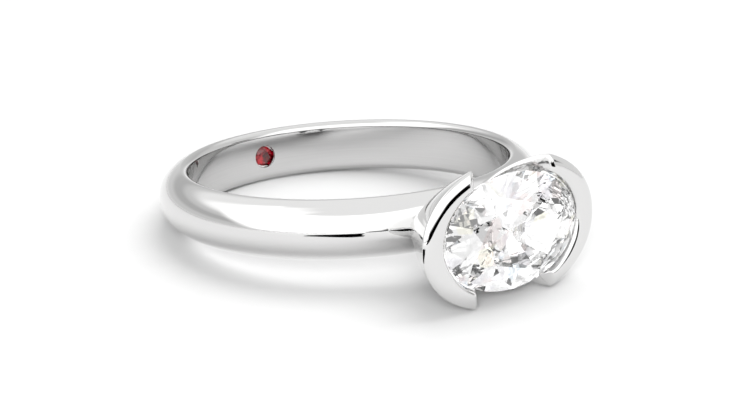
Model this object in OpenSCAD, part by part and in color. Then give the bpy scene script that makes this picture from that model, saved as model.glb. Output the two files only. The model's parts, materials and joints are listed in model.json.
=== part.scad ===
// Oval engagement ring: a plain rounded band with an oval brilliant set lengthwise
// round the finger in a half bezel, and a small red stone flush in the band's inside.
// Millimetres. The ring lies on its side on the table z = 0, with its head towards -Y.
// The head is wider than the band, so it stands on the two halves of its bezel and on
// the back of the band, and the finger hole leans a few degrees from upright.

/* [Band] */
// Inside diameter of the band
finger_d = 17; // [15:0.5:20]
// Radial thickness of the band
band_t = 1.6; // [1.5:0.05:2]
// Width of the straight wall inside the band
inner_flat_w = 2.24; // [2:0.02:2.5]
// Radius of the two rounded edges inside the band
inner_edge_r = 0.36; // [0.3:0.01:0.4]

/* [Oval stone] */
// Length of the oval stone, round the finger
stone_l = 8; // [7.6:0.1:8.1]
// Width of the oval stone, along the finger
stone_w = 5.6; // [5.3:0.1:5.7]
// Height of the girdle's middle above the outside of the band
girdle_lift = 2.93; // [2.9:0.01:2.98]
// Thickness of the girdle
girdle_t = 0.14; // [0.1:0.02:0.18]
// Table width as a share of the stone's width
table_share = 0.58; // [0.5:0.02:0.66]
// Crown height as a share of the stone's width
crown_share = 0.13; // [0.11:0.005:0.15]
// Pavilion depth as a share of the stone's width
pavilion_share = 0.4; // [0.36:0.01:0.42]
// Clear space between a stone and the metal round it
stone_gap = 0.06; // [0.04:0.01:0.08]

/* [Half bezel] */
// Length of the rim, over its two ends
rim_l = 10.44; // [10.2:0.04:10.8]
// Width of the rim, along the finger
rim_w = 7.25; // [7:0.05:7.5]
// Height of the bezel's front face above the outside of the band
front_lift = 3.1; // [3.08:0.01:3.2]
// Length and width of the opening in the front face
front_open_l = 8.32; // [8.3:0.02:8.5]
front_open_w = 6; // [5.9:0.05:6.1]
// Length and width of the cup just inside the outside of the band
cup_base_l = 6.78; // [6.4:0.02:7]
cup_base_w = 2.24; // [2:0.02:2.4]
// Height of the floor of the notch that parts the bezel, above the outside of the band
notch_floor = 0.15; // [0.1:0.05:0.3]
// Radius of the notch's round floor
notch_floor_r = 0.5; // [0.4:0.05:0.6]
// Slope of the notch's two sides where they leave its floor
notch_slope = 60; // [58:1:62]
// Radius of the arc in which each side leans out from there
notch_side_r = 16; // [14:0.5:20]

/* [Inner red stone] */
// Diameter of the round stone set inside the back of the band
red_d = 1.15; // [1:0.05:1.3]
// Depth of its table below the inside wall
red_sink = 0.04; // [0.03:0.01:0.08]

/* [Hidden] */
$fn = 128;
metal = [0.86, 0.87, 0.88];
colourless = [0.9, 0.95, 1];
red = [0.72, 0.06, 0.1];
finger_r = finger_d / 2;
band_r = finger_r + band_t;
over = 0.5;                                   // how far a cutter runs past what it cuts

// The outside of the band is one arc that runs into both inner edges without a corner
crown_r = (pow(band_t - inner_edge_r, 2) + pow(inner_flat_w / 2, 2) - pow(inner_edge_r, 2))
    / (2 * (band_t - 2 * inner_edge_r));
crown_c = band_r - crown_r;
edge_c = [finger_r + inner_edge_r, inner_flat_w / 2];
join = [crown_c, 0] + crown_r * (edge_c - [crown_c, 0]) / norm(edge_c - [crown_c, 0]);

// Heights in the head are counted from the ring's centre
girdle_h = band_r + girdle_lift;
front_h = band_r + front_lift;
cup_base_h = band_r - 0.35;
cup_foot_h = band_r - 0.9;                    // the cup's hidden foot, inside the band
shoulder_r = 0.24;                            // height of the rim's rounded shoulder
shoulder_in = [0.54, 0.6];                    // how far it leans in at the ends and the sides
rim_h = front_h - shoulder_r;

// The notch: the middle of its floor's arc, where a side leaves it, and the middle of that
// side's arc, as a distance from the notch's middle and a height
notch_c = band_r + notch_floor + notch_floor_r;
notch_turn = [notch_floor_r * sin(notch_slope), notch_c - notch_floor_r * cos(notch_slope)];
notch_side_c = notch_turn + notch_side_r * [sin(notch_slope), -cos(notch_slope)];
cup_square = [2.8, 2.1];                      // how square the oval is at the base and the rim
cup_bulge = [0.13, 0.33];                     // how far the wall bows out, lengthwise and across
oval_sides = 72;

function mix(a, b, k) = a + (b - a) * k;
function bow(k, amount) = k + amount * k * (1 - k);
function signed_pow(x, p) = sign(x) * pow(abs(x), p);

// A row of the cup: height, half length, half width, squareness
function cup_row(h) = let (k = (h - cup_base_h) / (rim_h - cup_base_h)) [
    h,
    mix(cup_base_l, rim_l, bow(k, cup_bulge[0])) / 2,
    mix(cup_base_w, rim_w, bow(k, cup_bulge[1])) / 2,
    mix(cup_square[0], cup_square[1], max(0, k))];
function shoulder_row(a) = [
    rim_h + shoulder_r * sin(a),
    rim_l / 2 - shoulder_in[0] * (1 - cos(a)),
    rim_w / 2 - shoulder_in[1] * (1 - cos(a)),
    cup_square[1]];
cup_rows = concat(
    [for (i = [0:8]) cup_row(mix(cup_foot_h, rim_h, i / 8))],
    [for (a = [18:18:90]) shoulder_row(a)]);

// The hollow that holds the stone: a bevel down to the girdle, then the pavilion's cone
seat_l = stone_l / 2 + stone_gap;
seat_w = stone_w / 2 + stone_gap;
girdle_low = girdle_h - girdle_t / 2;
culet_h = girdle_low - pavilion_share * stone_w;
seat_foot = [0.3, 0.2];                       // half length and half width of its foot
seat_rows = [
    [culet_h - 2 * stone_gap, seat_foot[0], seat_foot[1], 2],
    [girdle_low - 2 * stone_gap, seat_l, seat_w, 2],
    [girdle_low + stone_gap, seat_l, seat_w, 2],
    [front_h, front_open_l / 2, front_open_w / 2, 2],
    [front_h + over, front_open_l / 2 + over, front_open_w / 2 + over, 2]];

// The lean at which the head and the back of the band reach the table together
function half_width(row, t) = row[2] * pow(1 - pow(t / row[1], row[3]), 1 / row[3]);
function notch_half(h) = h < notch_turn[1]
    ? sqrt(max(0, pow(notch_floor_r, 2) - pow(notch_c - h, 2)))
    : notch_side_c[0] - sqrt(pow(notch_side_r, 2) - pow(h - notch_side_c[1], 2));
function head_low(a) = min([for (row = cup_rows) if (row[0] > cup_base_h)
    row[0] * sin(a) - half_width(row, notch_half(row[0])) * cos(a)]);
function band_low(a) = -edge_c[0] * sin(a) - edge_c[1] * cos(a) - inner_edge_r;
function find_lean(low, high, turns) = let (mid = (low + high) / 2)
    turns == 0 ? mid
    : head_low(mid) < band_low(mid) ? find_lean(mid, high, turns - 1)
    : find_lean(low, mid, turns - 1);
lean = find_lean(0, 20, 16);

// The middle of the outline, seen from above
table_h = girdle_h + girdle_t / 2 + crown_share * stone_w;
back_y = crown_c * cos(lean) + crown_r;
front_y = -table_h * cos(lean) - table_share * stone_w / 2 * sin(lean);

module on_the_table() {
    translate([0, -(back_y + front_y) / 2, -band_low(lean)])
        rotate([-lean, 0, 0])
            children();
}

// Head pieces are drawn with their height along +Z and their length along X
module in_the_head() {
    on_the_table()
        rotate([90, 0, 0])
            children();
}

function oval(row) = [for (i = [0:oval_sides - 1]) let (a = 360 * i / oval_sides, p = 2 / row[3])
    [row[1] * signed_pow(cos(a), p), row[2] * signed_pow(sin(a), p), row[0]]];

// A closed skin through ovals stacked from the lowest to the highest
module stack_of_ovals(rows) {
    n = oval_sides;
    last = n * (len(rows) - 1);
    polyhedron(
        points = [for (row = rows) each oval(row)],
        faces = concat(
            [[for (i = [0:n - 1]) i]],
            [for (j = [0:len(rows) - 2], i = [0:n - 1], half = [0, 1])
                let (a = j * n + i, b = j * n + (i + 1) % n)
                half == 0 ? [a, a + n, b + n] : [a, b + n, b]],
            [[for (i = [n - 1:-1:0]) last + i]]));
}

module band_profile() {
    for (side = [-1, 1])
        translate([edge_c[0], side * edge_c[1]])
            circle(r = inner_edge_r);
    intersection() {
        translate([crown_c, 0])
            circle(r = crown_r);
        translate([join[0], -crown_r])
            square([crown_r * 2, crown_r * 2]);
    }
    polygon([[finger_r, -edge_c[1]], [edge_c[0], -edge_c[1]], [join[0], -join[1]],
        join, edge_c, [finger_r, edge_c[1]]]);
}

module band() {
    rotate_extrude()
        band_profile();
}

// The notch seen along the finger: its round floor, and all that lies between its sides
module notch_outline() {
    translate([0, notch_c])
        circle(r = notch_floor_r);
    difference() {
        translate([-rim_l / 2, notch_turn[1]])
            square([rim_l, front_h + over - notch_turn[1]]);
        for (side = [-1, 1])
            translate([side * notch_side_c[0], notch_side_c[1]])
                circle(r = notch_side_r);
    }
}

module half_bezel() {
    difference() {
        stack_of_ovals(cup_rows);
        stack_of_ovals(seat_rows);
        rotate([90, 0, 0])
            linear_extrude(height = rim_w + 2 * over, center = true)
                notch_outline();
    }
}

// A brilliant cut of length l and width w, its girdle's middle at z = 0 and its table up.
// Its eight bezel facets, eight stars and eight pavilion mains are those of a round
// brilliant drawn out to the oval, and each half facet ends on the curved girdle.
module brilliant(l, w, table, crown, pavilion, girdle, steps) {
    star = mix(table, 1, 0.45);                // radius of the star facets' tips
    low = 0.22;                                // radius of the lower half facets' tips
    star_h = crown * (1 - star * cos(22.5)) / (1 - table);
    low_h = pavilion * (1 - low * cos(22.5));
    n = 16 * steps;
    function ring(r, h, turn) = [for (i = [0:7]) let (a = 45 * i + turn)
        [r * cos(a), r * sin(a), h]];
    // A half facet's plane runs through a tip of radius r and height h over the girdle and
    // through two girdle corners 22.5 degrees apart, so it dips where the girdle bows out
    function dip(i, r, h) = let (a = 22.5 * (i % steps) / steps - 11.25)
        h * (1 - cos(a) / cos(11.25)) / (1 - r);
    upper = [for (i = [0:n - 1]) let (a = 360 * i / n)
        [cos(a), sin(a), girdle / 2 + dip(i, star, star_h)]];
    lower = [for (i = [0:n - 1]) let (a = 360 * i / n)
        [cos(a), sin(a), -girdle / 2 - dip(i, low, low_h)]];
    tables = ring(table, girdle / 2 + crown, 0);
    stars = ring(star, girdle / 2 + star_h, 22.5);
    lows = ring(low, -girdle / 2 - low_h, 22.5);
    points = concat(upper, lower, tables, stars, lows, [[0, 0, -girdle / 2 - pavilion]]);
    t0 = 2 * n;
    s0 = t0 + 8;
    l0 = s0 + 8;
    culet = l0 + 8;
    faces = concat(
        [[for (i = [7:-1:0]) t0 + i]],
        [for (i = [0:7]) [t0 + i, t0 + (i + 1) % 8, s0 + i]],
        [for (i = [0:7]) [t0 + i, s0 + i, i * 2 * steps, s0 + (i + 7) % 8]],
        [for (i = [0:7], half = [0, 1]) concat([s0 + i],
            [for (j = [steps:-1:0]) ((2 * i + half) * steps + j) % n])],
        [for (i = [0:n - 1]) [i, (i + 1) % n, n + (i + 1) % n, n + i]],
        [for (i = [0:7], half = [0, 1]) concat([l0 + i],
            [for (j = [0:steps]) n + ((2 * i + half) * steps + j) % n])],
        [for (i = [0:7]) [culet, l0 + (i + 7) % 8, n + i * 2 * steps, l0 + i]]);
    polyhedron([for (p = points) [p[0] * l / 2, p[1] * w / 2, p[2]]], faces);
}

// The red stone is round, so its table and its heights are shares of its diameter
red_table = 0.56;
red_crown = 0.14 * red_d;
red_pavilion = 0.42 * red_d;
red_girdle = 0.04 * red_d;
red_h = finger_r + red_sink + red_crown + red_girdle / 2;

module at_the_back(h) {
    on_the_table()
        translate([0, h, 0])
            rotate([90, 0, 0])
                children();
}

module red_stone_hole() {
    depth = red_crown + red_girdle + red_pavilion + red_sink + stone_gap;
    translate([0, finger_r - over, 0])
        rotate([-90, 0, 0])
            cylinder(d = red_d + 2 * stone_gap, h = depth + over);
}

module shank_with_bezel() {
    color(metal)
        on_the_table()
            difference() {
                union() {
                    band();
                    rotate([90, 0, 0])
                        half_bezel();
                }
                red_stone_hole();
            }
}

module oval_stone() {
    color(colourless)
        in_the_head()
            translate([0, 0, girdle_h])
                brilliant(stone_l, stone_w, table_share, crown_share * stone_w,
                    pavilion_share * stone_w, girdle_t, 4);
}

module inner_red_stone() {
    color(red)
        at_the_back(red_h)
            brilliant(red_d, red_d, red_table, red_crown, red_pavilion, red_girdle, 2);
}

shank_with_bezel();
oval_stone();
inner_red_stone();
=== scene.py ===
import json
import math
import bmesh
import bpy
import numpy as np
from mathutils import Matrix


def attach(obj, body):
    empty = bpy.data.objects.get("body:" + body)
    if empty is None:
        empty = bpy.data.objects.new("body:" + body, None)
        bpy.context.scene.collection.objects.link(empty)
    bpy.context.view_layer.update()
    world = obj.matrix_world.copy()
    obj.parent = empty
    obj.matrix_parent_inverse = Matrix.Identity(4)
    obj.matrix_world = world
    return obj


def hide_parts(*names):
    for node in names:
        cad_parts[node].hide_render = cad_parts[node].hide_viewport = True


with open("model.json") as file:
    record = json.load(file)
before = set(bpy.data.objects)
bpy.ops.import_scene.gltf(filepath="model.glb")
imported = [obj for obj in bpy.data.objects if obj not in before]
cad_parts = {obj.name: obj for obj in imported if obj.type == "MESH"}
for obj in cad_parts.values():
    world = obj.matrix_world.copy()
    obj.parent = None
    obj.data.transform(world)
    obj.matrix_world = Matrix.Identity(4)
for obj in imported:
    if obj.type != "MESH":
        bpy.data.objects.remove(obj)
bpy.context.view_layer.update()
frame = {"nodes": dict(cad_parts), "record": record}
mm = 0.001
photoWide = 740     # pixels

# The ring's own axes come from its finger bore: along the bore, out through the head, across.
bore = frame["record"]["mounts"][0]
ringCentre = np.array(bore["pos_m"])
alongBore = np.array(bore["axis"]) / np.linalg.norm(bore["axis"])
towardsHead = np.array([0.0, -alongBore[2], alongBore[1]])
across = np.array([1.0, 0.0, 0.0])
fingerRadius = bore["dims"]["r_mm"]


def inRing(side, out, along):
    # ring point = centre + side * across + out * towards the head + along * along the bore, from mm
    spots = np.multiply.outer(side, across) + np.multiply.outer(out, towardsHead)
    return ringCentre + mm * (spots + np.multiply.outer(along, alongBore))


def gridFaces(rows, columns, closedRows=False, closedColumns=False):
    # corner (i, j) of a grid is number i * columns + j, and each cell is one four-sided face
    i = np.arange(rows if closedRows else rows - 1)[:, None]
    j = np.arange(columns if closedColumns else columns - 1)[None, :]
    below, beside = (i + 1) % rows, (j + 1) % columns
    cells = [i * columns + j, below * columns + j, below * columns + beside, i * columns + beside]
    return np.stack(np.broadcast_arrays(*cells), axis=-1).reshape(-1, 4)


weld = 1e-4         # mm within which two corners are one


def makePiece(name, grids, closed=(False, False)):
    # grids of ring points (side, out, along) become one mesh, joined where they meet
    mesh = bpy.data.meshes.new(name)
    build = bmesh.new()
    points, faces, start = [], [], 0
    for side, out, along in grids:
        rows, columns = np.broadcast(side, out, along).shape
        points.append(inRing(*np.broadcast_arrays(side, out, along)).reshape(-1, 3))
        faces.append(gridFaces(rows, columns, *closed) + start)
        start += rows * columns
    mesh.from_pydata(np.concatenate(points).tolist(), [], np.concatenate(faces).tolist())
    build.from_mesh(mesh)
    bmesh.ops.remove_doubles(build, verts=build.verts, dist=weld * mm)
    bmesh.ops.recalc_face_normals(build, faces=build.faces)
    build.to_mesh(mesh)
    build.free()
    mesh.polygons.foreach_set("use_smooth", np.ones(len(mesh.polygons), bool))
    piece = bpy.data.objects.new(name, mesh)
    bpy.context.scene.collection.objects.link(piece)
    return piece


bandLook = {
    "thickness": 1.6,
    "flatWidth": 2.24,      # the straight wall inside
    "edgeRadius": 0.36,     # the two rounded edges inside
    "around": 384,
    "edgePoints": 28,
    "crownPoints": 64,
    "flatPoints": 12,
}


def bandGrid(look):
    # ring of revolution: two edge arcs and one crown arc that meet without a corner, and a flat inside
    edge = look["edgeRadius"]
    half = look["flatWidth"] / 2
    edgeOut = fingerRadius + edge
    reach = look["thickness"] - edge
    crown = (reach ** 2 + half ** 2 - edge ** 2) / (2 * (look["thickness"] - 2 * edge))
    crownOut = fingerRadius + look["thickness"] - crown
    lean = math.atan2(half, edgeOut - crownOut)
    sweep = np.linspace(-lean, lean, look["crownPoints"])
    turn = np.linspace(lean, math.pi, look["edgePoints"])[1:]
    flat = np.linspace(half, -half, look["flatPoints"])[1:-1]
    out = np.concatenate([
        crownOut + crown * np.cos(sweep),
        edgeOut + edge * np.cos(turn),
        np.full(len(flat), fingerRadius),
        edgeOut + edge * np.cos(turn[::-1])])
    along = np.concatenate([
        crown * np.sin(sweep),
        half + edge * np.sin(turn),
        flat,
        -half - edge * np.sin(turn[::-1])])
    angle = np.linspace(0, 2 * math.pi, look["around"], endpoint=False)[:, None]
    return out * np.sin(angle), out * np.cos(angle), along


headLook = {
    "footHeight": 9.2,          # hidden inside the band
    "baseHeight": 9.75,
    "rimHeight": 12.96,
    "frontHeight": 13.2,
    "baseSize": (3.39, 1.12),   # half length and half width of the outside
    "rimSize": (5.22, 3.625),
    "bulge": (0.13, 0.33),
    "square": (2.8, 2.1),
    "shoulderIn": (0.54, 0.6),
    "openSize": (4.16, 3.0),    # the front face's inner edge
    "openRound": (0.45, 0.19),  # how far its rounding reaches, on the face and down the bevel
    "seatSize": (4.06, 2.86),
    "seatHeight": 13.02,
    "ledgeHeight": 12.84,
    "seatRound": 0.015,
    "dome": 0.14,               # how much the front swells lengthwise, in the middle
    "domeFrom": 1.0,            # how far below the rim that starts
    "pitSize": (0.3, 0.2),
    "pitHeight": 10.6,
    "pitSlack": (0.02, 0.01),   # share and mm by which a face of the pit may lie off its cone
    "notchFloor": 10.25,
    "notchRadii": (0.5, 16.0),  # of the floor's arc and of each side's arc
    "notchSlope": 59.6,         # degrees, where a side leaves the floor
    "edgeOff": 0.16,            # how far the notch's rounded edges reach on the outside
    "edgeIn": (0.4, 0.14, 0.2),  # and on its own walls: along the outside, the front and the pit
    "sharpFrom": 32,            # degrees between two faces that keep a sharp edge
    "outsideRows": 49,
    "shoulderRows": 19,
    # straight and rounded rows of the front face, the bevel, the seat's wall and the pit
    "innerRows": [(9, 17), (1, 4), (2, 4), (24, 0)],
    "columns": 44,
    "wallRows": 12,
    "archRows": 44,
    "floorRows": 9,
    "edgeRows": 13,
    "ribs": 14,
    "tipSteps": 4001,           # fineness of the search for the notch's end in the pit
    "soften": 7,                # rows over which the edge's direction is evened out
    "edgeFades": (9, 9, 5, 4),  # rows before and after the rim, and before and after the seat
}


def bend(start, corner, end, count):
    # quadratic curve from start to end that leaves along start-corner and arrives along corner-end
    k = np.linspace(0, 1, count)[:, None]
    return (1 - k) ** 2 * start + 2 * k * (1 - k) * corner + k ** 2 * end


def headSection(look):
    # rows of height, half length, half width and squareness: up the outside from the foot, over
    # the shoulder, across the front, down the bevel and the seat and along the pit
    height = np.linspace(look["footHeight"], look["rimHeight"], look["outsideRows"])
    share = (height - look["baseHeight"]) / (look["rimHeight"] - look["baseHeight"])
    length, width = [base + (rim - base) * (share + bulge * share * (1 - share))
                     for base, rim, bulge in zip(look["baseSize"], look["rimSize"], look["bulge"])]
    wall = np.stack([height, length, width, np.interp(share, [0, 1], look["square"])], axis=-1)

    turn = np.linspace(0, math.pi / 2, look["shoulderRows"])[1:]
    shoulder = np.stack([
        look["rimHeight"] + (look["frontHeight"] - look["rimHeight"]) * np.sin(turn),
        look["rimSize"][0] - look["shoulderIn"][0] * (1 - np.cos(turn)),
        look["rimSize"][1] - look["shoulderIn"][1] * (1 - np.cos(turn)),
        np.full(len(turn), look["square"][1])], axis=-1)

    # the inner edges are plain ellipses, whose squareness is 2
    corners = [shoulder[-1]] + [np.array([level, *size, 2.0]) for level, size in (
        (look["frontHeight"], look["openSize"]),
        (look["seatHeight"], look["seatSize"]),
        (look["ledgeHeight"], look["seatSize"]),
        (look["pitHeight"], look["pitSize"]))]
    small = look["seatRound"]
    reaches = [look["openRound"], (small, small), (small, small), (0, 0)]
    parts, last = [wall, shoulder], corners[0]
    for k, (straight, rounded) in enumerate(look["innerRows"]):
        step = corners[k + 1] - corners[k]
        end = corners[k + 1] - step * reaches[k][0] / np.linalg.norm(step[:3])
        parts.append(last + np.linspace(0, 1, straight + 1)[1:, None] * (end - last))
        if rounded:
            onward = corners[k + 2] - corners[k + 1]
            last = corners[k + 1] + onward * reaches[k][1] / np.linalg.norm(onward[:3])
            parts.append(bend(end, corners[k + 1], last, rounded)[1:])
    # a first row of no size closes the foot
    section = np.concatenate([wall[:1] * [1, 0, 0, 1]] + parts)
    return section, len(wall), len(section) - look["innerRows"][-1][0] - 1


def notchOutline(look, into):
    # the notch seen along the finger, moved into the metal: a floor arc of radius floor that
    # leaves at the slope into a side arc of radius side on each hand
    slope = math.radians(look["notchSlope"])
    both = sum(look["notchRadii"])
    middle = look["notchFloor"] + look["notchRadii"][0]
    far, low = both * math.sin(slope), middle - both * math.cos(slope)
    floor, side = look["notchRadii"][0] + into, look["notchRadii"][1] - into
    turnHeight, turnWay = middle - floor * math.cos(slope), floor * slope

    def halfSide(height):
        # sqrt(floor^2 - depth^2) on the floor and far - sqrt(side^2 - rise^2) above it
        onFloor = np.sqrt(np.maximum(0, floor ** 2 - (middle - height) ** 2))
        return np.where(height < turnHeight, onFloor, far - np.sqrt(side ** 2 - (height - low) ** 2))

    def wayAt(height):
        # length of the outline from its middle up to a height
        onFloor = floor * np.arccos(np.clip((middle - height) / floor, -1, 1))
        onSide = turnWay + side * (slope - np.arccos(np.clip((height - low) / side, -1, 1)))
        return np.where(height < turnHeight, onFloor, onSide)

    def spotAt(way):
        # half side and height after a length of the outline
        turn, onward = way / floor, slope - (way - turnWay) / side
        return np.where(way < turnWay,
                        [floor * np.sin(turn), middle - floor * np.cos(turn)],
                        [far - side * np.sin(onward), low + side * np.cos(onward)])

    return halfSide, wayAt, spotAt


def swell(look, side, height, along):
    # height + dome * (1 - (side / half length)^2), fading in from the bevel out and from the wall up
    inner, outer = np.array(look["seatSize"]), np.array(look["openSize"])
    place = np.hypot(side / outer[0], along / outer[1])
    start = np.mean(inner / outer)
    outside = np.clip((place - start) / (1 - start), 0, 1)
    reach = look["frontHeight"] - look["rimHeight"] + look["domeFrom"]
    above = np.clip((height - look["rimHeight"] + look["domeFrom"]) / reach, 0, 1)
    return height + look["dome"] * (1 - (side / look["rimSize"][0]) ** 2) * outside * above ** 2


def headGrids(look):
    section, rim, ledge = headSection(look)
    last = len(section) - 1
    wallRows, arch = look["wallRows"], look["archRows"]

    def rowAt(place):
        # the section between its listed rows
        return np.stack([np.interp(place, np.arange(last + 1), part) for part in section.T], axis=-1)

    def onOval(row, angle):
        # superellipse: side = half length * cos^p, along = half width * sin^p, p = 2 / squareness
        power = 2 / row[..., 3]
        side = row[..., 1] * np.abs(np.cos(angle)) ** power
        return np.stack([side, row[..., 0], row[..., 2] * np.abs(np.sin(angle)) ** power], axis=-1)

    def notchAngle(row, halfSide):
        # where the notch meets the oval; the last row is the pit's lowest point, on the end line
        share = halfSide(row[:, 0]) / np.maximum(row[:, 1], 1e-6)
        angle = np.arccos(np.clip(share, 0, 1) ** (row[:, 3] / 2))
        angle[-1] = 0
        return angle

    def notchPlaces(into):
        # places on the section along the notch's edge: equal steps up the outside, the listed rows
        # over the rim, and steps down the pit that shorten towards its lowest point
        halfSide, wayAt, spotAt = notchOutline(look, into)
        fine = np.linspace(last, ledge, look["tipSteps"])
        inPit = rowAt(fine)
        tip = wayAt(inPit[np.argmax(inPit[:, 1] > halfSide(inPit[:, 0])), 0])
        up = spotAt(np.linspace(0, wayAt(section[rim, 0]), arch))[1]
        down = spotAt(tip + (wayAt(section[ledge, 0]) - tip) * np.linspace(1, 0, arch) ** 2)[1]
        outside, inside = np.arange(1, rim + 1), np.arange(last, ledge - 1, -1)
        return np.concatenate([
            np.interp(up, section[outside, 0], outside),
            np.arange(rim + 1, ledge),
            np.interp(down, section[inside, 0], inside)])

    # the sheet runs from the head's end to the notch's edge, or to the middle below the notch
    wide = notchPlaces(look["edgeOff"])
    nearNotch = np.concatenate([[0], np.linspace(1, wide[0], wallRows)[:-1], wide])
    nearEnd = np.concatenate([
        [0], np.linspace(1, rim, wallRows + arch - 1), np.arange(rim + 1, ledge),
        np.linspace(ledge, wide[-1], arch)])
    stop = notchAngle(rowAt(nearNotch), notchOutline(look, look["edgeOff"])[0])
    k = np.linspace(0, 1, look["columns"])
    sheet = onOval(rowAt(nearEnd[:, None] * (1 - k) + nearNotch[:, None] * k), stop[:, None] * k)
    start = sheet[wallRows:, -1]

    # the notch's sharp edge, and the same edge moved inwards over the notch's own wall
    halfSide, wayAt, spotAt = notchOutline(look, 0.0)
    places = notchPlaces(0.0)
    row = rowAt(places)
    corner = onOval(row, notchAngle(row, halfSide))
    turn, along = wayAt(corner[:, 1]), corner[:, 2]
    way = np.stack([np.gradient(turn), np.gradient(along)])
    way = way / np.linalg.norm(way, axis=0)
    weights, beyond = np.hanning(look["soften"] + 2)[1:-1], look["soften"] // 2
    way = np.stack([np.convolve(np.pad(part, beyond, "edge"), weights, "valid") for part in way])
    way[:, [0, -1]] = [[1, 0], [0, -1]]
    fades = look["edgeFades"]
    onRim = [rim - fades[0], rim + fades[1], ledge - fades[2], ledge + fades[3]]
    outsideIn, frontIn, pitIn = look["edgeIn"]
    reach = np.interp(places, onRim, [outsideIn, frontIn, frontIn, pitIn])
    way = way / np.linalg.norm(way, axis=0) * reach
    turn, along = turn + way[1], along - way[0]

    def onNotch(turn, along):
        # the notch's wall after a length of its outline
        side, height = spotAt(turn)
        return np.stack([side, height, along], axis=-1)

    edge = np.swapaxes(np.stack([
        (1 - q) ** 2 * start + 2 * q * (1 - q) * corner + q ** 2 * onNotch(turn, along)
        for q in np.linspace(0, 1, look["edgeRows"])]), 0, 1)
    # below the pit the wall runs right across, so its inner side goes on down the middle line, with
    # one row more where that makes the whole number odd
    extra = look["floorRows"] + (len(turn) + look["floorRows"] + 1) % 2
    turn = np.concatenate([turn, turn[-1] * np.linspace(1, 0, extra + 1)[1:]])
    along = np.concatenate([along, np.zeros(extra)])
    half = len(turn) // 2 + 1
    k = np.linspace(0, 1, look["ribs"])
    strip = onNotch(turn[:half, None] * (1 - k) + turn[::-1][:half, None] * k,
                    along[:half, None] * (1 - k) + along[::-1][:half, None] * k)
    quarter = [np.moveaxis(grid, -1, 0) for grid in (sheet, edge, strip)]
    return [(side * grid[0], swell(look, *grid), width * grid[2])
            for grid in quarter for side in (1, -1) for width in (1, -1)]


redHoleLook = {
    # depth below the inside wall and radius, from above the wall to the bottom
    "steps": [(-0.4, 0.0), (-0.4, 0.7), (0.0, 0.655), (0.03, 0.635), (0.79, 0.635), (0.79, 0.0)],
    "around": 48,
}


def redHoleGrid(look):
    # hole of revolution at the back of the band: (radius * cos, -(finger radius + depth), radius * sin)
    depth, radius = np.array(look["steps"]).T[..., None]
    angle = np.linspace(0, 2 * math.pi, look["around"], endpoint=False)
    return radius * np.cos(angle), -(fingerRadius + depth) + 0 * angle, radius * np.sin(angle)


def meltTogether(piece, other, operation):
    # the other piece is joined to this one, or cut out of it, and goes
    join = piece.modifiers.new("join", "BOOLEAN")
    join.object = other
    join.operation = operation
    join.solver = "EXACT"
    mesh = bpy.data.meshes.new_from_object(piece.evaluated_get(bpy.context.evaluated_depsgraph_get()))
    piece.modifiers.clear()
    piece.data = mesh
    bpy.data.objects.remove(other)


print("ring metal")
metal = makePiece("shank_and_bezel", [bandGrid(bandLook)], closed=(True, True))
head = makePiece("head", headGrids(headLook))
meltTogether(metal, head, "UNION")
redHole = makePiece("red_hole", [redHoleGrid(redHoleLook)], closed=(False, True))
meltTogether(metal, redHole, "DIFFERENCE")
metal.data.set_sharp_from_angle(angle=math.radians(headLook["sharpFrom"]))
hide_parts("shank_with_bezel")
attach(metal, "root")


def viewAxes(azimuth, elevation):
    # right, up and back of a thing that faces the ring from an azimuth and an elevation in degrees:
    # back = (sin azimuth cos elevation, -cos azimuth cos elevation, sin elevation)
    turn, lift = math.radians(azimuth), math.radians(elevation)
    back = np.array([math.sin(turn) * math.cos(lift), -math.cos(turn) * math.cos(lift), math.sin(lift)])
    right = np.array([math.cos(turn), math.sin(turn), 0.0])
    return right, np.cross(back, right), back


def placeFacing(thing, axes, spot):
    # the thing's own axes, and its place in mm from the ring's centre
    matrix = np.eye(4)
    matrix[:3, :3] = np.stack(axes, axis=-1)
    matrix[:3, 3] = ringCentre + mm * spot
    thing.matrix_world = Matrix(matrix.tolist())
    bpy.context.scene.collection.objects.link(thing)


print("camera")
cameraLook = {
    "focalPixels": 1442.2,
    "filmWidth": 36.0,      # mm
    "nearest": 1.0,         # mm
    "distance": 77.22,      # mm from the ring's centre, along the view
    "azimuth": -36.232,     # degrees, 0 in front of the head
    "elevation": 19.529,
    "shiftRight": 1.101,    # mm that the view's middle lies right of the ring's centre
    "shiftUp": -1.387,
}


def makeCamera(look):
    # camera = ring's centre + right * shift + up * shift + back * distance
    right, up, back = viewAxes(look["azimuth"], look["elevation"])
    data = bpy.data.cameras.new("camera")
    data.sensor_width = look["filmWidth"]
    data.lens = look["focalPixels"] / photoWide * data.sensor_width
    data.clip_start = look["nearest"] * mm
    camera = bpy.data.objects.new("camera", data)
    spot = right * look["shiftRight"] + up * look["shiftUp"] + back * look["distance"]
    placeFacing(camera, (right, up, back), spot)
    bpy.context.scene.camera = camera


makeCamera(cameraLook)


class Signal:
    # one output socket, so that 1 - signal or 2 * signal adds a Math node
    def __init__(self, book, socket):
        self.book, self.socket = book, socket

    def math(self, operation, *values):
        return self.book.node("ShaderNodeMath", {"operation": operation}, dict(enumerate(values)))

    def __add__(self, other):
        return self.math("ADD", self, other)

    def __radd__(self, other):
        return self.math("ADD", other, self)

    def __sub__(self, other):
        return self.math("SUBTRACT", self, other)

    def __rsub__(self, other):
        return self.math("SUBTRACT", other, self)

    def __mul__(self, other):
        return self.math("MULTIPLY", self, other)

    def __rmul__(self, other):
        return self.math("MULTIPLY", other, self)


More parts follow.
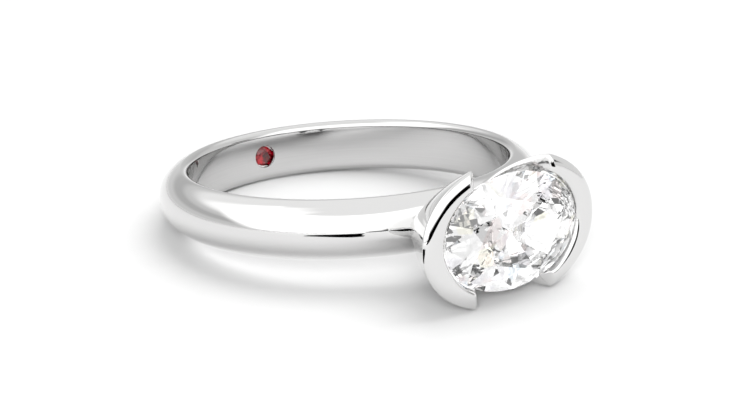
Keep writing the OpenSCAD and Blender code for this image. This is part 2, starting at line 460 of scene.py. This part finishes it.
class ShaderBook:
    # the nodes of one material or world
    def __init__(self, owner):
        owner.use_nodes = True
        self.owner = owner
        self.tree = owner.node_tree
        self.tree.nodes.clear()

    def node(self, kind, settings=None, sockets=None, output=0):
        # one node: its settings first, then the value or the link of each socket
        node = self.tree.nodes.new(kind)
        for name, value in (settings or {}).items():
            if name == "stops":
                ramp = node.color_ramp.elements
                for k, (place, colour) in enumerate(value):
                    stop = ramp[k] if k < 2 else ramp.new(place)
                    stop.position, stop.color = place, colour
            else:
                setattr(node, name, value)
        for name, value in (sockets or {}).items():
            if isinstance(value, Signal):
                self.tree.links.new(value.socket, node.inputs[name])
            else:
                node.inputs[name].default_value = value
        return Signal(self, node.outputs[output]) if node.outputs else node

    def vector(self, operation, *values, scale=None, output=0):
        # a Vector Math node
        sockets = dict(enumerate(values))
        if scale is not None:
            sockets["Scale"] = scale
        return self.node("ShaderNodeVectorMath", {"operation": operation}, sockets, output)

    def noise(self, place, scale, detail):
        sockets = {"Vector": place, "Scale": scale, "Detail": detail}
        return self.node("ShaderNodeTexNoise", sockets=sockets)

    def blend(self, factor, first, second):
        # the first colour where the factor is 0 and the second where it is 1
        first, second = [c if isinstance(c, Signal) else (*c, 1.0) for c in (first, second)]
        sockets = {"Factor": factor, "A": first, "B": second}
        return self.node("ShaderNodeMix", {"data_type": "RGBA"}, sockets, output=2)

    def rise(self, value, low, high):
        # 0 at low and 1 at high, with a smooth run between them; low may be the larger one
        return self.node("ShaderNodeMapRange", {"interpolation_type": "SMOOTHSTEP"},
                         {"Value": value, "From Min": low, "From Max": high})

    def window(self, value, low, high, soft):
        # 1 between low and high and 0 outside, with soft edges
        return self.rise(value, low - soft, low + soft) * self.rise(value, high + soft, high - soft)

    def axes(self, coordinates):
        # x, y and z of the coordinates, each as a signal
        place = self.node("ShaderNodeTexCoord", output=coordinates)
        split = self.node("ShaderNodeSeparateXYZ", sockets={0: place})
        return [Signal(self, socket) for socket in split.socket.node.outputs]

    def surface(self, kind, sockets):
        # the material with this shader as its surface
        shader = self.node(kind, sockets=sockets)
        self.node("ShaderNodeOutputMaterial", sockets={"Surface": shader})
        return self.owner


def newFinish(name):
    # the nodes of a new material, and the place on the piece
    book = ShaderBook(bpy.data.materials.new(name))
    return book, book.node("ShaderNodeTexCoord", output="Object")


print("studio")
studioLook = {
    "dome": 1.4,
    # from azimuth, to azimuth, from elevation, to elevation, softness of each in degrees, brightness,
    # and how far the first edge leans west for each degree of elevation
    "panels": [
        (36, 104, -8, 40, 8, 8, 1.15, 0),       # the pale wall on the right
        (104, 162, 4, 36, 14, 6, 0.85, 0),      # the grey wall at the back right
        (152, 200, 0, 28, 12, 5, 0.95, 0),      # the grey wall behind, on both sides of straight back
        (-200, -80, 0, 28, 12, 5, 0.95, 0),
        (152, 200, 10, 20, 12, 3, 0.72, 0),     # and its darker middle
        (-200, -80, 10, 20, 12, 3, 0.72, 0),
        (-160, -92, 32, 72, 10, 6, 1.9, 0),     # the softbox over it on the left
        (-88, 34, 2.5, 62, 9, 2.5, 2.3, 1.3),   # the wide softbox in front
        (-16, 33, -8, 5.5, 3.5, 3.5, 0, 0),     # the dark room past the table's edge
        (13, 30, -8, 9.5, 4, 2, 0, 0),          # taller on its right
        (44, 61, 8, 15, 3, 2, 0.05, 0),         # and a dark stand further right
    ],
}


def makeStudio(look):
    # brightness of the world by direction: each panel is a window in azimuth and elevation
    world = bpy.data.worlds.new("studio")
    bpy.context.scene.world = world
    book = ShaderBook(world)
    x, y, z = book.axes("Generated")
    azimuth = x.math("ARCTAN2", x, -1 * y) * math.degrees(1)
    elevation = z.math("ARCSINE", z) * math.degrees(1)
    light = look["dome"]
    for west, east, low, high, softWide, softHigh, level, lean in look["panels"]:
        mask = book.rise(azimuth + elevation * lean, west - softWide, west + softWide)
        mask = mask * book.rise(azimuth, east + softWide, east - softWide)
        mask = mask * book.window(elevation, low, high, softHigh)
        light = mask * (level - light) + light
    background = book.node("ShaderNodeBackground", sockets={"Strength": light})
    book.node("ShaderNodeOutputWorld", sockets={"Surface": background})


makeStudio(studioLook)

softboxLook = {
    # name, azimuth and elevation in degrees, distance and diameter in mm, power in watts
    "softboxes": [
        ("front_softbox", -40.0, 22.0, 300.0, 172.0, 2.4),
        ("side_softbox", 102.0, 60.0, 400.0, 520.0, 3.8),
    ],
}


def makeSoftbox(name, azimuth, elevation, distance, diameter, power):
    # round softbox that faces the ring; it lights the floor and isn't mirrored
    data = bpy.data.lights.new(name, "AREA")
    data.shape = "DISK"
    data.size = diameter * mm
    data.energy = power
    softbox = bpy.data.objects.new(name, data)
    axes = viewAxes(azimuth, elevation)
    placeFacing(softbox, axes, distance * axes[-1])
    softbox.visible_glossy = False
    softbox.visible_transmission = False


for row in softboxLook["softboxes"]:
    makeSoftbox(*row)

print("floor and flags")
floorLook = {
    "half": 600.0,          # mm
    "white": 0.3,
    "grain": 0.01,          # how far the white varies
    "grainScale": 900.0,    # to the metre, as all scales below
}


def sheetOnFloor(name, corners, height):
    # one flat face from plan corners in mm
    mesh = bpy.data.meshes.new(name)
    mesh.from_pydata([(x * mm, y * mm, height * mm) for x, y in corners], [], [range(len(corners))])
    sheet = bpy.data.objects.new(name, mesh)
    bpy.context.scene.collection.objects.link(sheet)
    return sheet


def makeFloor(look):
    half = look["half"]
    sheet = sheetOnFloor("floor", [(-half, -half), (half, -half), (half, half), (-half, half)], 0.0)
    book, place = newFinish("white floor")
    grain = book.noise(place, look["grainScale"], detail=3.0)
    tone = grain * look["grain"] + (look["white"] - look["grain"] / 2)
    colour = book.node("ShaderNodeCombineColor", sockets={"Red": tone, "Green": tone, "Blue": tone})
    sheet.data.materials.append(book.surface("ShaderNodeBsdfDiffuse", {"Color": colour}))


makeFloor(floorLook)

flagLook = {
    # name, height in mm, and plan corners in mm
    "sheets": [
        ("black_flag", 1.6, [
            (-13.5, -8), (-16.5, -10.5), (-19, -15.5), (-18.5, -18.5), (-17.6, -19), (-17.6, -25),
            (-16.9, -25), (-16.9, -19.3), (-15, -21), (-13.8, -23), (-12.8, -21), (-11.6, -18.5),
            (-10.3, -17), (-9.9, -15.3), (-8.9, -13), (-7.6, -11.5), (-7.3, -10.4), (-8, -9.7),
            (-11, -9.2), (-12.5, -8.7)]),
        ("dark_room", 0.05, [
            (-34, -62), (-15, -57), (0, -60), (36, -58), (430, -600), (-267, -600)]),
    ],
    "brightness": 0.0,
}


def makeFlag(name, height, corners, brightness):
    # a black sheet out of the camera's sight that only the polished metal mirrors
    sheet = sheetOnFloor(name, corners, height)
    sheet.visible_camera = False
    sheet.visible_diffuse = False
    sheet.visible_transmission = False
    sheet.visible_shadow = False
    book = ShaderBook(bpy.data.materials.new(name.replace("_", " ")))
    sheet.data.materials.append(book.surface("ShaderNodeEmission", {"Strength": brightness}))


for row in flagLook["sheets"]:
    makeFlag(*row, flagLook["brightness"])

print("finishes")
metalFinish = {
    "colour": (0.7, 0.698, 0.695),
    "colourSpread": 0.015,      # share by which the clouds change it
    "roughness": 0.035,
    "cloudScale": 260.0,
    "cloudWear": 0.03,          # how far the clouds change the roughness
    "rubScale": 5200.0,
    "rubWear": 0.01,            # how far the rubbing marks change it
    "rubStrength": 0.02,
    "rubDepth": 0.01,           # mm
    "wornColour": (0.6, 0.598, 0.595),      # painted shade: the inside wall is coloured darker than the polish
    "wornSpread": 0.035,
    "wornEdge": 0.3,            # mm over which the polish turns into the painted shade inside
    "streakScales": (250.0, 9000.0),        # every way, and more along the finger
}


def polishedMetal(look):
    # mirror polish with faint cloudy wear and fine rubbing marks, and painted shade inside the bore: a
    # darker colour with random streaks round it
    book, place = newFinish("polished platinum")
    cloud = book.noise(place, look["cloudScale"], detail=4.0)
    rub = book.noise(place, look["rubScale"], detail=2.0)
    least = look["roughness"] - (look["cloudWear"] + look["rubWear"]) / 2
    roughness = cloud * look["cloudWear"] + rub * look["rubWear"] + least
    darker, lighter = [[c * share for c in look["colour"]]
                       for share in (1 - look["colourSpread"], 1 + look["colourSpread"])]
    polished = book.blend(cloud, darker, lighter)

    # distance from the bore's axis = length of (place - centre) x axis, height along it = dot product
    offset = book.vector("SUBTRACT", place, ringCentre)
    distance = book.vector("LENGTH", book.vector("CROSS_PRODUCT", offset, alongBore), output=1)
    height = book.vector("DOT_PRODUCT", offset, alongBore, output=1)
    # painted shade: 1 on the inside wall, where the base colour turns darker
    inside = book.rise(distance, (fingerRadius + look["wornEdge"]) * mm, fingerRadius * mm)
    everyWay, more = look["streakScales"]
    scaled = book.vector("SCALE", place, scale=everyWay)
    stretched = book.vector("MULTIPLY_ADD", height, (more,) * 3, scaled)
    # the darker painted shade of the inside, with random streaks in its tone
    darker, lighter = [[c + step for c in look["wornColour"]]
                       for step in (-look["wornSpread"], look["wornSpread"])]
    shadedInside = book.blend(book.noise(stretched, scale=1.0, detail=1.0), darker, lighter)

    relief = book.node("ShaderNodeBump", sockets={
        "Height": rub, "Strength": look["rubStrength"], "Distance": look["rubDepth"] * mm})
    return book.surface("ShaderNodeBsdfPrincipled", {
        "Base Color": book.blend(inside, polished, shadedInside), "Metallic": 1.0, "Roughness": roughness,
        "Normal": relief})


pitFinish = {
    # near-white colour, part of the painted light in the pit
    "colour": (0.96, 0.96, 0.955),
    "roughness": 0.1,
    "markScale": 3000.0,
    "markWear": 0.04,
    "glow": 0.45,       # painted light: an emission that brightens the cup under the stone
}


def paintedPitLight(look):
    # painted light in the pit: near-white metal that glows though it is no lamp, with fine turning
    # marks
    book, place = newFinish("bright cut")
    marks = book.noise(place, look["markScale"], detail=2.0)
    roughness = marks * look["markWear"] + (look["roughness"] - look["markWear"] / 2)
    # painted light: the near-white colour and the glow brighten the pit under the stone
    return book.surface("ShaderNodeBsdfPrincipled", {
        "Base Color": (*look["colour"], 1.0), "Metallic": 1.0, "Roughness": roughness,
        "Emission Color": (1.0, 1.0, 1.0, 1.0), "Emission Strength": look["glow"]})


def facesInPit(mesh, look):
    # faces whose middle lies in the pit's cone: (side / half length)^2 + (along / half width)^2 under 1
    middle = np.empty(3 * len(mesh.polygons))
    mesh.polygons.foreach_get("center", middle)
    spots = (middle.reshape(-1, 3) - ringCentre) / mm
    out = spots @ towardsHead
    past, above = look["pitSlack"]
    share = (out - look["pitHeight"]) / (look["ledgeHeight"] - look["pitHeight"])
    length, width = [deep + (seat - deep) * np.clip(share, above, 1)
                     for deep, seat in zip(look["pitSize"], look["seatSize"])]
    inside = (spots @ across / length) ** 2 + (spots @ alongBore / width) ** 2 < 1 + past
    return inside & (out > look["pitHeight"]) & (out < look["ledgeHeight"] + above)


metal.data.materials.clear()
metal.data.materials.append(polishedMetal(metalFinish))
metal.data.materials.append(paintedPitLight(pitFinish))
metal.data.polygons.foreach_set("material_index", facesInPit(metal.data, headLook).astype(np.int32))

stoneFinish = {
    "oval_stone": {
        "index": 2.417,
        "cells": 1100.0,
        # where each tint of the painted fire starts, and the tint
        "tints": [
            (0.0, (1, 1, 1)), (0.7, (0.76, 0.88, 1)), (0.78, (1, 0.97, 0.76)),
            (0.86, (1, 0.86, 0.84)), (0.92, (0.86, 0.84, 0.9)), (0.96, (1, 1, 1))],
    },
    "inner_red_stone": {
        "index": 1.762,
        "cells": 3000.0,
        "tints": [
            (0.0, (0.25, 0.001, 0.006)), (0.5, (0.16, 0.0, 0.004)), (0.8, (0.34, 0.003, 0.012))],
    },
}


def cutStone(name, look):
    # clear stone, with faint tints painted in patches about the size of its facets: painted fire, the
    # coloured flashes of light split by the facets; on the red stone, lighter and darker reds
    book, place = newFinish(name.replace("_", " "))
    cells = {"Vector": place, "Scale": look["cells"]}
    # painted fire: each facet-sized patch gets its own tint
    patch = book.node("ShaderNodeTexVoronoi", sockets=cells, output="Color")
    pick = book.node("ShaderNodeSeparateColor", sockets={"Color": patch})
    stops = [(start, (*colour, 1.0)) for start, colour in look["tints"]]
    paintedFire = book.node("ShaderNodeValToRGB", {"stops": stops}, {"Fac": pick})
    paintedFire.socket.node.color_ramp.interpolation = "CONSTANT"
    return book.surface("ShaderNodeBsdfPrincipled", {
        "Base Color": paintedFire, "Roughness": 0.0, "IOR": look["index"], "Transmission Weight": 1.0})


for nodeName, look in stoneFinish.items():
    frame["nodes"][nodeName].material_slots[0].material = cutStone(nodeName, look)

lightPaths = {
    "max_bounces": 24,
    "transmission_bounces": 24,
    "glossy_bounces": 8,
    "transparent_max_bounces": 16,
}
for name, count in lightPaths.items():
    setattr(bpy.context.scene.cycles, name, count)
bpy.context.scene.view_settings.view_transform = "Standard"
